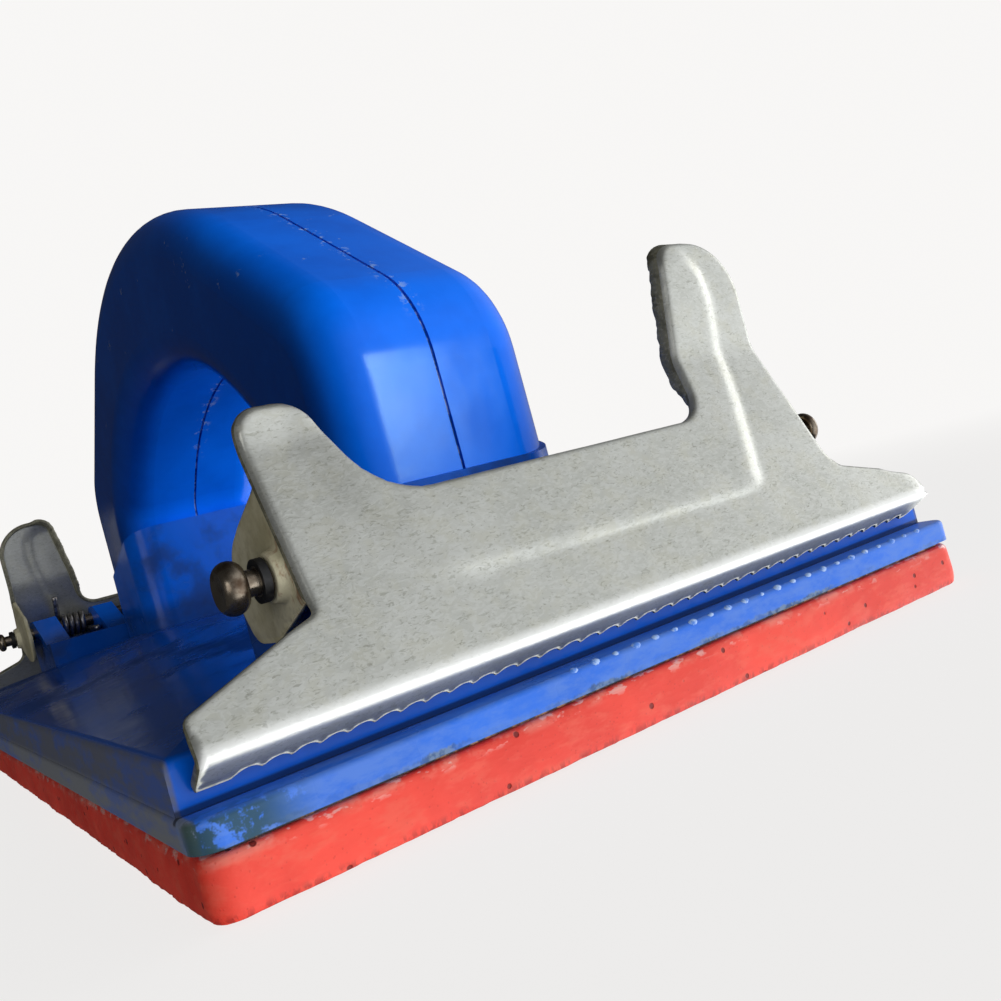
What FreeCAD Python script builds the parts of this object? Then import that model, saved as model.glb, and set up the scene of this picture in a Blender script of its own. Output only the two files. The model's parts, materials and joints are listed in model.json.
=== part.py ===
import FreeCAD, Part

# Hand sanding block: a foam-soled plastic base with a spring clip at each end that pins the
# abrasive sheet against the base, and a hollow two-piece D handle screwed on from below.
#
# Frame: millimetres, +Z up.  The origin is on the sole, at the middle of the block.  The long
# axis runs along Y.  Everything at one end is modelled at the front (-Y) end, and the rear end
# is the same thing turned half a turn about Z.

import math
import os

Vector = FreeCAD.Vector
X_AXIS = Vector(1, 0, 0)
Z_AXIS = Vector(0, 0, 1)

# Sole and base
LENGTH = 210.0
WIDTH = 105.0
CORNER_RADIUS = 2.5
PAD_THICKNESS = 5.6
GLUE_THICKNESS = 0.4
GLUE_MARGIN = 1.0
LEDGE_TOP = 8.7            # top of the lip that the paper folds over
LIP_ROUND = 0.5
LEDGE_DEPTH = 4.5          # from the end of the block back to the clamping face
SHOULDER_TOP = 13.4        # top edge of the clamping face and of the side walls
SHOULDER_ROUND = 1.0
SHOULDER_INSET = 0.3       # side walls above the lip, inside the lip's edge
DECK_TOP = 19.0            # flat middle of the deck
DECK_TOP_HALF_X = 18.7
DECK_TOP_HALF_Y = 53.8
BASE_WALL = 2.6
RIB_THICKNESS = 1.8
RIB_X = (-26.0, 0.0, 26.0)
RIB_Y = (-84.0, -22.0, 22.0, 84.0)

# Pedestals that carry the handle: the joint slopes up towards the middle of the block
PEDESTAL_HALF_X = 16.8
PEDESTAL_OUTER_Y = 73.5
PEDESTAL_INNER_Y = 43.4
PEDESTAL_CORNER = 6.0
JOINT_LOW_Z = 32.0
JOINT_HIGH_Z = 42.0
PEDESTAL_ROOF = 3.0

# Handle
HANDLE_HALF_X = 16.5
HANDLE_WALL = 2.6
HANDLE_OUTER_Y = 73.2
HANDLE_TOP_Z = 92.6
HANDLE_TOP_RADIUS = 69.5
HANDLE_SLOPE = math.radians(35.6)
HANDLE_SHOULDER_RADIUS = 17.1
ARCH_HALF_Y = 46.0
ARCH_TOP_Z = 65.0
ARCH_TOP_RADIUS = 59.3
ARCH_SLOPE = math.radians(42.4)
ARCH_FOOT_RADIUS = 8.0
HANDLE_OUTER_ROUND = 7.0
SEAM_HALF_WIDTH = 0.25
SEAM_DEPTH = 0.4
BOSS_RADIUS = 4.6

# Screws
FOOT_SCREW_X = 9.0
FOOT_SCREW_Y = 59.0
FOOT_SCREW_SEAT_Z = 29.0
FOOT_SCREW_LENGTH = 20.0
FOOT_SCREW_RADIUS = 2.0
SHELL_SCREW_YZ = ((-57.0, 56.0), (0.0, 79.5), (57.0, 56.0))
SHELL_SCREW_SEAT_X = 10.0
SHELL_SCREW_LENGTH = 20.0
SHELL_SCREW_RADIUS = 1.6
SCREW_HEAD_RATIO = 1.9     # head radius over thread radius
SCREW_CLEARANCE = 0.2

# Pivot pin: its axis lies along X, this far from the end of the block and from the sole
PIN_DEPTH = 10.0
PIN_Z = 25.3
PIN_RADIUS = 1.5
PIN_NECK_RADIUS = 1.3
PIN_NECK_START = 38.8
PIN_HEAD_START = 40.2
PIN_HEADS = ((42.5, 2.6), (41.7, 2.2))    # outer end and radius: the formed head, the riveted one
PIN_HEAD_DISH = 0.25
WASHER_RADIUS = 2.15
WASHER_START = 38.0
WASHER_END = 38.8
RUNNING_FIT = 0.05

# Clip: one steel stamping, bent along X, leaning back from the fold to the ears
SHEET = 0.9
CLIP_HALF_X = 50.4
PLATE_Z = 21.2             # height at which the front of the plate is PLATE_DEPTH from the end
PLATE_DEPTH = 3.5
PLATE_LEAN = 0.43          # depth gained per height
JAW_DEPTH = 3.8            # toothed edge, a sheet's thickness short of the clamping face
JAW_Z = 10.2
FOLD_Z = 12.5
FOLD_RADIUS = 1.2
EAR_BEND_Z = 38.0
EAR_BEND_RADIUS = 6.0
EAR_TOP_Z = 53.2
FLANGE_HALF_X = 36.6
RIM_DEPTH = 2.6
RIM_FROM_Z = 35.0
TOOTH_PITCH = 2.7
TOOTH_COUNT = 35
TOOTH_DEPTH = 0.8
COLLAR_RADIUS = 2.4
COLLAR_END = 37.7

# Pivot lugs on the base, each side: the outer one, then the inner one
LUG_X = ((28.0, 33.5), (14.0, 19.0))
LUG_RADIUS = 3.1
LUG_FLOOR_Z = 22.1
LUG_FRONT_DEPTH = 6.9
LUG_TOP_DEPTH = 14.0
LUG_BACK_DEPTH = 27.0

# Torsion springs, one beside each outer lug
WIRE_RADIUS = 0.65
COIL_RADIUS = 2.45
COIL_PITCH = 1.4
COIL_TURNS = 4.0
COIL_START_X = 20.6
FIXED_LEG = 13.0
MOVING_LEG = 7.5


# ---------------------------------------------------------------- helpers

def box(x0, x1, y0, y1, z0, z1):
    return Part.makeBox(x1 - x0, y1 - y0, z1 - z0, Vector(x0, y0, z0))


def tangent_arc(before, corner, after, radius):
    """Start, middle and end of the arc that rounds the corner between two straight runs."""
    to_before = (before - corner).normalize()
    to_after = (after - corner).normalize()
    half_angle = to_before.getAngle(to_after) / 2
    reach = radius / math.tan(half_angle)
    bisector = (to_before + to_after).normalize()
    centre = corner + bisector * (radius / math.sin(half_angle))
    return corner + to_before * reach, centre - bisector * radius, corner + to_after * reach


def rounded_wire(corners, closed=True):
    """A wire of straight runs.  Each corner is (point, radius), and radius 0 stays sharp."""
    points = [point for point, radius in corners]
    arrive = list(points)
    leave = list(points)
    arcs = {}
    for i, (point, radius) in enumerate(corners):
        if radius > 0:
            after = points[(i + 1) % len(points)]
            arrive[i], middle, leave[i] = tangent_arc(points[i - 1], point, after, radius)
            arcs[i] = Part.Arc(arrive[i], middle, leave[i]).toShape()
    edges = []
    last = len(points) if closed else len(points) - 1
    for i in range(last):
        if i in arcs:
            edges.append(arcs[i])
        edges.append(Part.LineSegment(leave[i], arrive[(i + 1) % len(points)]).toShape())
    return Part.Wire(edges)


def side_prism(corners, x0, x1):
    """A side-view (y, z, radius) outline extruded from x0 to x1."""
    wire = rounded_wire([(Vector(x0, y, z), radius) for y, z, radius in corners])
    return Part.Face(wire).extrude(Vector(x1 - x0, 0, 0))


def rounded_slab(half_x, half_y, z0, z1, radius):
    corners = [Vector(sx * half_x, sy * half_y, z0) for sx, sy in ((1, 1), (-1, 1), (-1, -1), (1, -1))]
    return Part.Face(rounded_wire([(corner, radius) for corner in corners])).extrude(Vector(0, 0, z1 - z0))


def frustum(half_x, half_y, z0, top_half_x, top_half_y, z1):
    """A hipped block that narrows from one rectangle to a smaller one above it."""
    rings = []
    for hx, hy, z in ((half_x, half_y, z0), (top_half_x, top_half_y, z1)):
        corners = [Vector(hx, hy, z), Vector(-hx, hy, z), Vector(-hx, -hy, z), Vector(hx, -hy, z)]
        rings.append(Part.makePolygon(corners + corners[:1]))
    return Part.makeLoft(rings, True, True)


def rod(x0, x1, y, z, radius):
    return Part.makeCylinder(radius, x1 - x0, Vector(x0, y, z), X_AXIS)


def post(x, y, z0, z1, radius):
    return Part.makeCylinder(radius, z1 - z0, Vector(x, y, z0), Z_AXIS)


def at_rear(shape):
    """The same shape at the other end of the block."""
    turned = shape.copy()
    turned.rotate(Vector(0, 0, 0), Z_AXIS, 180)
    return turned


def both_ends(shape):
    return [shape, at_rear(shape)]


def at_depth(depth):
    """Y of a point this far in from the front end of the block."""
    return depth - LENGTH / 2


def save(name, shape):
    shape.exportStep("parts/" + name + ".step")


# ---------------------------------------------------------------- sole

def foam_pad():
    return rounded_slab(WIDTH / 2, LENGTH / 2, 0, PAD_THICKNESS, CORNER_RADIUS)


def pad_adhesive():
    half_x = WIDTH / 2 - GLUE_MARGIN
    half_y = LENGTH / 2 - GLUE_MARGIN
    return rounded_slab(half_x, half_y, PAD_THICKNESS, PAD_THICKNESS + GLUE_THICKNESS, CORNER_RADIUS)


# ---------------------------------------------------------------- base

BASE_BOTTOM = PAD_THICKNESS + GLUE_THICKNESS
SHOULDER_HALF_X = WIDTH / 2 - SHOULDER_INSET
SHOULDER_HALF_Y = LENGTH / 2 - LEDGE_DEPTH


def joint_prism(z_bottom, lift):
    """Everything at the front end from z_bottom up to the sloping handle joint, moved by lift."""
    beyond = 6.0
    slope = (JOINT_HIGH_Z - JOINT_LOW_Z) / (PEDESTAL_OUTER_Y - PEDESTAL_INNER_Y)
    outer_y = -PEDESTAL_OUTER_Y - beyond
    inner_y = -PEDESTAL_INNER_Y + beyond
    low = JOINT_LOW_Z - slope * beyond + lift
    high = JOINT_HIGH_Z + slope * beyond + lift
    corners = [(outer_y, z_bottom, 0), (inner_y, z_bottom, 0), (inner_y, high, 0), (outer_y, low, 0)]
    return side_prism(corners, -WIDTH / 2, WIDTH / 2)


def pedestal(inset, z_bottom, lift):
    """The upright block under one foot of the handle, or the hollow inside it."""
    half_y = (PEDESTAL_OUTER_Y - PEDESTAL_INNER_Y) / 2 - inset
    radius = max(PEDESTAL_CORNER - inset, 1.0)
    block = rounded_slab(PEDESTAL_HALF_X - inset, half_y, z_bottom, JOINT_HIGH_Z + 2, radius)
    block.translate(Vector(0, -(PEDESTAL_OUTER_Y + PEDESTAL_INNER_Y) / 2, 0))
    return block.common(joint_prism(z_bottom, lift))


def pivot_lugs():
    """The low block behind the clip, with four eyes for the pivot pin."""
    floor = box(-LUG_X[0][1], LUG_X[0][1], at_depth(LUG_FRONT_DEPTH), -PEDESTAL_OUTER_Y + 1,
                SHOULDER_TOP - 1, LUG_FLOOR_Z)
    solids = [floor]
    top_z = PIN_Z + LUG_RADIUS
    web = [(at_depth(PIN_DEPTH), LUG_FLOOR_Z - 1, 0), (at_depth(LUG_BACK_DEPTH), LUG_FLOOR_Z - 1, 0),
           (at_depth(LUG_BACK_DEPTH), LUG_FLOOR_Z, 0), (at_depth(LUG_TOP_DEPTH), top_z, 2.0),
           (at_depth(PIN_DEPTH), top_z, 0)]
    for near, far in LUG_X:
        for x0, x1 in ((near, far), (-far, -near)):
            solids.append(rod(x0, x1, at_depth(PIN_DEPTH), PIN_Z, LUG_RADIUS))
            solids.append(box(x0, x1, at_depth(LUG_FRONT_DEPTH), at_depth(PIN_DEPTH + LUG_RADIUS),
                              LUG_FLOOR_Z - 1, PIN_Z))
            solids.append(side_prism(web, x0, x1))
    hole = rod(-WIDTH / 2, WIDTH / 2, at_depth(PIN_DEPTH), PIN_Z, PIN_RADIUS + RUNNING_FIT)
    return solids[0].multiFuse(solids[1:]).cut(hole)


def screw_towers():
    """Posts inside a pedestal that the foot screws are tightened against."""
    towers = []
    for side in (-1, 1):
        tower = post(side * FOOT_SCREW_X, -FOOT_SCREW_Y, FOOT_SCREW_SEAT_Z, JOINT_HIGH_Z, BOSS_RADIUS + 0.6)
        towers.append(tower.common(joint_prism(BASE_BOTTOM, 0)))
    return towers


def edges_at(solid, z):
    """The edges of a solid that lie level at height z."""
    return [edge for edge in solid.Edges if abs(edge.BoundBox.ZMin - z) < 0.01 and edge.BoundBox.ZLength < 0.01]


def base_body():
    lip = rounded_slab(WIDTH / 2, LENGTH / 2, BASE_BOTTOM, LEDGE_TOP, CORNER_RADIUS)
    lip = lip.makeFillet(LIP_ROUND, edges_at(lip, LEDGE_TOP))
    shoulder = box(-SHOULDER_HALF_X, SHOULDER_HALF_X, -SHOULDER_HALF_Y, SHOULDER_HALF_Y, LEDGE_TOP, SHOULDER_TOP)
    deck = frustum(SHOULDER_HALF_X, SHOULDER_HALF_Y, SHOULDER_TOP, DECK_TOP_HALF_X, DECK_TOP_HALF_Y, DECK_TOP)
    upper = shoulder.fuse(deck)
    upper = upper.makeFillet(SHOULDER_ROUND, edges_at(upper, SHOULDER_TOP))
    shell = lip.fuse(upper)

    wall_x = SHOULDER_HALF_X - BASE_WALL
    wall_y = SHOULDER_HALF_Y - BASE_WALL
    roof_drop = BASE_WALL
    room = box(-wall_x, wall_x, -wall_y, wall_y, BASE_BOTTOM, SHOULDER_TOP - roof_drop)
    vault = frustum(wall_x, wall_y, SHOULDER_TOP - roof_drop, DECK_TOP_HALF_X - BASE_WALL,
                    DECK_TOP_HALF_Y - BASE_WALL, DECK_TOP - roof_drop)
    ribs = []
    for x in RIB_X:
        ribs.append(box(x - RIB_THICKNESS / 2, x + RIB_THICKNESS / 2, -wall_y, wall_y, BASE_BOTTOM, DECK_TOP))
    for y in RIB_Y:
        ribs.append(box(-wall_x, wall_x, y - RIB_THICKNESS / 2, y + RIB_THICKNESS / 2, BASE_BOTTOM, DECK_TOP))
    ribbed = shell.cut(room.fuse(vault)).fuse([rib.common(shell) for rib in ribs])

    uprights = both_ends(pedestal(0, SHOULDER_TOP, 0).fuse(pivot_lugs()))
    hollows = both_ends(pedestal(BASE_WALL, BASE_BOTTOM, -PEDESTAL_ROOF))
    towers = [tower for pair in screw_towers() for tower in both_ends(pair)]
    body = ribbed.fuse(uprights).cut(hollows).fuse(towers)
    for side in (-1, 1):
        hole = post(side * FOOT_SCREW_X, -FOOT_SCREW_Y, BASE_BOTTOM, JOINT_HIGH_Z + 1,
                    FOOT_SCREW_RADIUS + SCREW_CLEARANCE)
        body = body.cut(both_ends(hole))
    return body.removeSplitter()


# ---------------------------------------------------------------- handle

def handle_outline(inset):
    """Side outline of the D handle, from the front foot over the grip to the rear foot."""
    foot_z = JOINT_LOW_Z - 12.0
    outer_y = HANDLE_OUTER_Y - inset
    arch_y = ARCH_HALF_Y + inset
    top_radius = HANDLE_TOP_RADIUS - inset
    arch_radius = ARCH_TOP_RADIUS + inset
    peak = HANDLE_TOP_Z - inset + top_radius * (1 / math.cos(HANDLE_SLOPE) - 1)
    arch_peak = ARCH_TOP_Z + inset + arch_radius * (1 / math.cos(ARCH_SLOPE) - 1)
    shoulder_z = peak - outer_y * math.tan(HANDLE_SLOPE)
    haunch_z = arch_peak - arch_y * math.tan(ARCH_SLOPE)
    shoulder_radius = HANDLE_SHOULDER_RADIUS - inset
    haunch_radius = ARCH_FOOT_RADIUS + inset
    return [(-outer_y, foot_z, 0), (-outer_y, shoulder_z, shoulder_radius), (0, peak, top_radius),
            (outer_y, shoulder_z, shoulder_radius), (outer_y, foot_z, 0), (arch_y, foot_z, 0),
            (arch_y, haunch_z, haunch_radius), (0, arch_peak, arch_radius),
            (-arch_y, haunch_z, haunch_radius), (-arch_y, foot_z, 0)]


def long_edges(solid, half_x):
    """The edges that run round the sides of the handle, without those across its feet."""
    foot_z = JOINT_LOW_Z - 12.0
    found = []
    for edge in solid.Edges:
        bounds = edge.BoundBox
        on_side = abs(abs(bounds.XMin) - half_x) < 0.01 and bounds.XLength < 0.01
        if on_side and bounds.ZMax > foot_z + 0.5:
            found.append(edge)
    return found


def handle_bow():
    """The whole handle as one hollow bow, before it is split down the middle."""
    outer = side_prism(handle_outline(0), -HANDLE_HALF_X, HANDLE_HALF_X)
    outer = outer.makeFillet(HANDLE_OUTER_ROUND, long_edges(outer, HANDLE_HALF_X))
    inner_half = HANDLE_HALF_X - HANDLE_WALL
    inner = side_prism(handle_outline(HANDLE_WALL), -inner_half, inner_half)
    inner = inner.makeFillet(HANDLE_OUTER_ROUND - HANDLE_WALL, long_edges(inner, inner_half))
    seam = side_prism(handle_outline(0), -SEAM_HALF_WIDTH, SEAM_HALF_WIDTH)
    seam = seam.cut(side_prism(handle_outline(SEAM_DEPTH), -SEAM_HALF_WIDTH, SEAM_HALF_WIDTH))
    outer = outer.cut(both_ends(joint_prism(0, 0)) + [seam])
    hollow = inner.cut(both_ends(joint_prism(0, HANDLE_WALL)))
    bosses = [rod(-HANDLE_HALF_X, HANDLE_HALF_X, y, z, BOSS_RADIUS) for y, z in SHELL_SCREW_YZ]
    for side in (-1, 1):
        top = FOOT_SCREW_SEAT_Z + FOOT_SCREW_LENGTH + 2
        bosses += both_ends(post(side * FOOT_SCREW_X, -FOOT_SCREW_Y, JOINT_LOW_Z, top, BOSS_RADIUS))
    return outer.cut(hollow.cut(bosses))


def handle_holes():
    """Bores for the screws: pilot bores up from the feet, and across from the right-hand side."""
    bores = []
    head_radius = SHELL_SCREW_RADIUS * SCREW_HEAD_RATIO + SCREW_CLEARANCE
    for side in (-1, 1):
        top = FOOT_SCREW_SEAT_Z + FOOT_SCREW_LENGTH
        bores += both_ends(post(side * FOOT_SCREW_X, -FOOT_SCREW_Y, JOINT_LOW_Z - 5, top, FOOT_SCREW_RADIUS))
    for y, z in SHELL_SCREW_YZ:
        tip = SHELL_SCREW_SEAT_X - SHELL_SCREW_LENGTH
        bores.append(rod(tip, 0, y, z, SHELL_SCREW_RADIUS))
        bores.append(rod(0, SHELL_SCREW_SEAT_X, y, z, SHELL_SCREW_RADIUS + SCREW_CLEARANCE))
        bores.append(rod(SHELL_SCREW_SEAT_X, HANDLE_HALF_X + 1, y, z, head_radius))
    return bores


def handle_shells():
    bow = handle_bow().cut(handle_holes())
    reach = LENGTH / 2
    left = bow.common(box(-reach, 0, -reach, reach, 0, reach))
    right = bow.common(box(0, reach, -reach, reach, 0, reach))
    return left, right


# ---------------------------------------------------------------- screws

def pan_screw(radius, length):
    """A pan-head screw that stands on z = 0 under its head, with a cross recess in the head."""
    head_radius = radius * SCREW_HEAD_RATIO
    head_height = radius * 1.2
    profile = [Vector(0, 0, -head_height), Vector(head_radius * 0.7, 0, -head_height),
               Vector(head_radius, 0, -head_height * 0.45), Vector(head_radius, 0, 0),
               Vector(radius, 0, 0), Vector(radius, 0, length - radius),
               Vector(radius * 0.3, 0, length), Vector(0, 0, length)]
    solid = Part.Face(Part.makePolygon(profile + profile[:1])).revolve(Vector(0, 0, 0), Z_AXIS, 360)
    arm = head_radius * 0.55
    slot = radius * 0.22
    depth = head_height * 0.6
    cross = box(-arm, arm, -slot, slot, -head_height, -head_height + depth)
    cross = cross.fuse(box(-slot, slot, -arm, arm, -head_height, -head_height + depth))
    return solid.cut(cross)


def foot_screws():
    screws = []
    for side in (-1, 1):
        screw = pan_screw(FOOT_SCREW_RADIUS, FOOT_SCREW_LENGTH)
        screw.translate(Vector(side * FOOT_SCREW_X, -FOOT_SCREW_Y, FOOT_SCREW_SEAT_Z))
        screws += both_ends(screw)
    return Part.makeCompound(screws)


def shell_screws():
    screws = []
    for y, z in SHELL_SCREW_YZ:
        screw = pan_screw(SHELL_SCREW_RADIUS, SHELL_SCREW_LENGTH)
        screw.rotate(Vector(0, 0, 0), Vector(0, 1, 0), -90)
        screw.translate(Vector(SHELL_SCREW_SEAT_X, y, z))
        screws.append(screw)
    return Part.makeCompound(screws)


# ---------------------------------------------------------------- clip

def plate_depth(z):
    """Depth of the front face of the leaning plate at height z."""
    return PLATE_DEPTH + PLATE_LEAN * (z - PLATE_Z)


def clip_band(below, thickness):
    """The clip's bent section over its full width, with this much metal behind its front face.
    `below` is the run of corners, as depth, height and radius, up to where the ears are bent."""
    bend_depth = plate_depth(EAR_BEND_Z)
    front = below + [(bend_depth, EAR_BEND_Z, EAR_BEND_RADIUS), (bend_depth, EAR_TOP_Z + 1, 0)]
    corners = [(Vector(-CLIP_HALF_X, at_depth(depth), z), radius) for depth, z, radius in front]
    face = rounded_wire(corners, closed=False).makeOffset2D(thickness, 0, True, True)
    return face.extrude(Vector(2 * CLIP_HALF_X, 0, 0))


def clip_front_view(inset):
    """Front outline of the stamping: two wings, a short left ear, a notch and a tall right ear."""
    side = FLANGE_HALF_X - inset
    corners = [(-CLIP_HALF_X, 9.6, 0.8), (-CLIP_HALF_X, 16.4, 0.8), (-side, 21.4, 0),
               (-side, 41.6 - inset, 2.6 - inset), (-29.6 - inset, 41.6 - inset, 4.0),
               (-25.0 - inset, 30.1 - inset, 8.0), (19.6 + inset, 30.1 - inset, 4.5),
               (23.6 + inset, EAR_TOP_Z - inset, 3.6 - inset), (side, EAR_TOP_Z - inset, 8.0),
               (side, 19.5, 0), (CLIP_HALF_X, 14.4, 2.2), (CLIP_HALF_X, 9.6, 2.4)]
    wire = rounded_wire([(Vector(x, at_depth(-5), z), radius) for x, z, radius in corners])
    return Part.Face(wire).extrude(Vector(0, 40, 0))


def clip_flange(side):
    """The cheek folded back at one side of the clip, with a drawn collar round the pin."""
    outline = [(at_depth(4.6), 22.6, 0), (at_depth(9.8), 34.6, 0), (at_depth(21.8), 29.4, 5.0),
               (at_depth(24.6), 24.5, 3.5), (at_depth(21.5), 18.9, 3.0), (at_depth(15.5), 18.9, 4.0)]
    inner_x = FLANGE_HALF_X - SHEET
    cheek = side_prism(outline, inner_x, FLANGE_HALF_X)
    collar = rod(inner_x, COLLAR_END, at_depth(PIN_DEPTH), PIN_Z, COLLAR_RADIUS)
    cheek = cheek.fuse(collar)
    if side < 0:
        cheek = cheek.mirror(Vector(0, 0, 0), X_AXIS)
    return cheek


def jaw_gaps():
    """The gaps between the teeth, along the edge that grips the sheet."""
    start = -TOOTH_COUNT * TOOTH_PITCH / 2
    gaps = []
    for i in range(TOOTH_COUNT):
        x = start + i * TOOTH_PITCH
        corners = [Vector(x, at_depth(JAW_DEPTH + 1), 5), Vector(x + TOOTH_PITCH, at_depth(JAW_DEPTH + 1), 5),
                   Vector(x + TOOTH_PITCH / 2, at_depth(JAW_DEPTH - TOOTH_DEPTH), 5)]
        gaps.append(Part.Face(Part.makePolygon(corners + corners[:1])).extrude(Vector(0, 0, 10)))
    return gaps


def clip():
    jaw_and_fold = [(JAW_DEPTH, JAW_Z, 0), (plate_depth(FOLD_Z), FOLD_Z, FOLD_RADIUS)]
    plate = clip_band(jaw_and_fold, SHEET).common(clip_front_view(0))
    rim = clip_band([(plate_depth(RIM_FROM_Z), RIM_FROM_Z, 0)], RIM_DEPTH)
    rim = rim.common(clip_front_view(0).cut(clip_front_view(SHEET)))
    body = plate.fuse([rim, clip_flange(-1), clip_flange(1)])
    bore = rod(-CLIP_HALF_X, CLIP_HALF_X, at_depth(PIN_DEPTH), PIN_Z, PIN_RADIUS + RUNNING_FIT)
    return body.cut(bore).cut(jaw_gaps())


# ---------------------------------------------------------------- pivot

def pin_half(head_end, head_radius):
    """Half of the pin, towards +X: the shaft, a turned neck and a mushroom head with a dished face."""
    start = Vector(PIN_HEAD_START, head_radius - 0.5, 0)
    widest = Vector((PIN_HEAD_START + head_end) / 2 - 0.1, head_radius, 0)
    brow = Vector(head_end, head_radius - 0.7, 0)
    dish = Vector(head_end - PIN_HEAD_DISH, 0, 0)
    shaft = [brow, start, Vector(PIN_HEAD_START, PIN_NECK_RADIUS, 0), Vector(PIN_NECK_START, PIN_NECK_RADIUS, 0),
             Vector(PIN_NECK_START, PIN_RADIUS, 0), Vector(0, PIN_RADIUS, 0), Vector(0, 0, 0), dish, brow]
    edges = [Part.Arc(brow, widest, start).toShape()]
    edges += [Part.LineSegment(a, b).toShape() for a, b in zip(shaft[1:], shaft[2:])]
    return Part.Face(Part.Wire(edges)).revolve(Vector(0, 0, 0), X_AXIS, 360)


def pivot_pin():
    formed, riveted = (pin_half(head_end, head_radius) for head_end, head_radius in PIN_HEADS)
    pin = riveted.fuse(formed.mirror(Vector(0, 0, 0), X_AXIS)).removeSplitter()
    pin.translate(Vector(0, at_depth(PIN_DEPTH), PIN_Z))
    return pin


def pin_washers():
    washers = []
    for x0, x1 in ((WASHER_START, WASHER_END), (-WASHER_END, -WASHER_START)):
        disc = rod(x0, x1, at_depth(PIN_DEPTH), PIN_Z, WASHER_RADIUS)
        washers.append(disc.cut(rod(x0 - 1, x1 + 1, at_depth(PIN_DEPTH), PIN_Z, PIN_RADIUS)))
    return Part.makeCompound(washers)


def torsion_spring(side):
    """A coil round the pin: its inner leg lies on the base, its outer leg presses on the clip."""
    lean = math.atan(PLATE_LEAN)
    sweep = 2 * math.pi * COIL_TURNS + math.pi / 2 + lean
    height = COIL_PITCH * sweep / (2 * math.pi)
    helix = Part.makeHelix(COIL_PITCH, height, COIL_RADIUS)
    start = Vector(COIL_RADIUS, 0, 0)
    ring = Part.Wire(Part.makeCircle(WIRE_RADIUS, start, Vector(0, 1, 0)))
    coil = Part.Wire(helix).makePipeShell([ring], True, True)
    fixed_leg = Part.makeCylinder(WIRE_RADIUS, FIXED_LEG, start, Vector(0, -1, 0))
    end = Vector(COIL_RADIUS * math.cos(sweep), COIL_RADIUS * math.sin(sweep), height)
    direction = Vector(-math.sin(sweep), math.cos(sweep), 0)
    moving_leg = Part.makeCylinder(WIRE_RADIUS, MOVING_LEG, end, direction)
    joint = Part.makeSphere(WIRE_RADIUS, end)
    spring = coil.fuse([fixed_leg, moving_leg, joint])
    # the coil's own axis goes to +X, its start to the bottom and its fixed leg to the rear
    spring = spring.mirror(Vector(0, 0, 0), Vector(0, 1, 0))
    spring.rotate(Vector(0, 0, 0), Vector(0, 1, 0), 90)
    spring.translate(Vector(COIL_START_X, at_depth(PIN_DEPTH), PIN_Z))
    if side < 0:
        spring = spring.mirror(Vector(0, 0, 0), X_AXIS)
    return spring


# ---------------------------------------------------------------- everything

def main():
    os.makedirs("parts", exist_ok=True)
    left_shell, right_shell = handle_shells()
    save("foam_pad", foam_pad())
    save("pad_adhesive", pad_adhesive())
    save("base_body", base_body())
    save("handle_shell_left", left_shell)
    save("handle_shell_right", right_shell)
    save("handle_foot_screws", foot_screws())
    save("handle_shell_screws", shell_screws())
    ends = (("clip", clip()), ("pivot_pin", pivot_pin()), ("pin_washers", pin_washers()),
            ("spring_left", torsion_spring(-1)), ("spring_right", torsion_spring(1)))
    for name, shape in ends:
        save("front_" + name, shape)
        save("rear_" + name, at_rear(shape))


main()
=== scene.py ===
import json
import math

import bpy
import numpy as np
from mathutils import Matrix, Vector, noise
from mathutils.geometry import delaunay_2d_cdt


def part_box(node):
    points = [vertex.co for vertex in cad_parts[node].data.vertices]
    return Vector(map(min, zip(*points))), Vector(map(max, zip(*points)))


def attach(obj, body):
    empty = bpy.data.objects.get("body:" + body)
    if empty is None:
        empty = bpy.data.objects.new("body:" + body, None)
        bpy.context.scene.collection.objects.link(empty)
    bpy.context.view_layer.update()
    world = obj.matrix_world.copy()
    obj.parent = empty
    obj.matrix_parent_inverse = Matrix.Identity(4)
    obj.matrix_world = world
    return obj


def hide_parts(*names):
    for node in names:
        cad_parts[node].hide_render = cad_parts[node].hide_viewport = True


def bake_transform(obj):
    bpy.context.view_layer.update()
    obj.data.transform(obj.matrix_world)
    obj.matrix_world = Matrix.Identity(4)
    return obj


# A hand sanding block. Everything below is in millimetres until a mesh is made, and `depth` is the
# distance in from the front end of the block. The rear end is the front end turned half a turn.

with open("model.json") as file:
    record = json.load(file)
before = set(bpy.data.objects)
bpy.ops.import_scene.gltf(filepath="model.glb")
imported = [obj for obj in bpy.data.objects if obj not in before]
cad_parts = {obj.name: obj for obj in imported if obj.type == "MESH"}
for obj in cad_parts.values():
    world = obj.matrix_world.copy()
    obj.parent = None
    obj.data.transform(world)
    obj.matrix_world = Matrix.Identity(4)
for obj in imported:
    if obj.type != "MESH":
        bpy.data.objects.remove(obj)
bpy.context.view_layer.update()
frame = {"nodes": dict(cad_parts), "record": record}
record = frame["record"]

MM = 0.001
pad_low, pad_high = (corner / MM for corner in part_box("foam_pad"))
pin_low, pin_high = (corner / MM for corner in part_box("front_pivot_pin"))
FRONT = pad_low.y
HALF_X = pad_high.x
PIN_Y = (pin_low.y + pin_high.y) / 2
PIN_Z = (pin_low.z + pin_high.z) / 2


# ---------------------------------------------------------------- outlines in a plane

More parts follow.
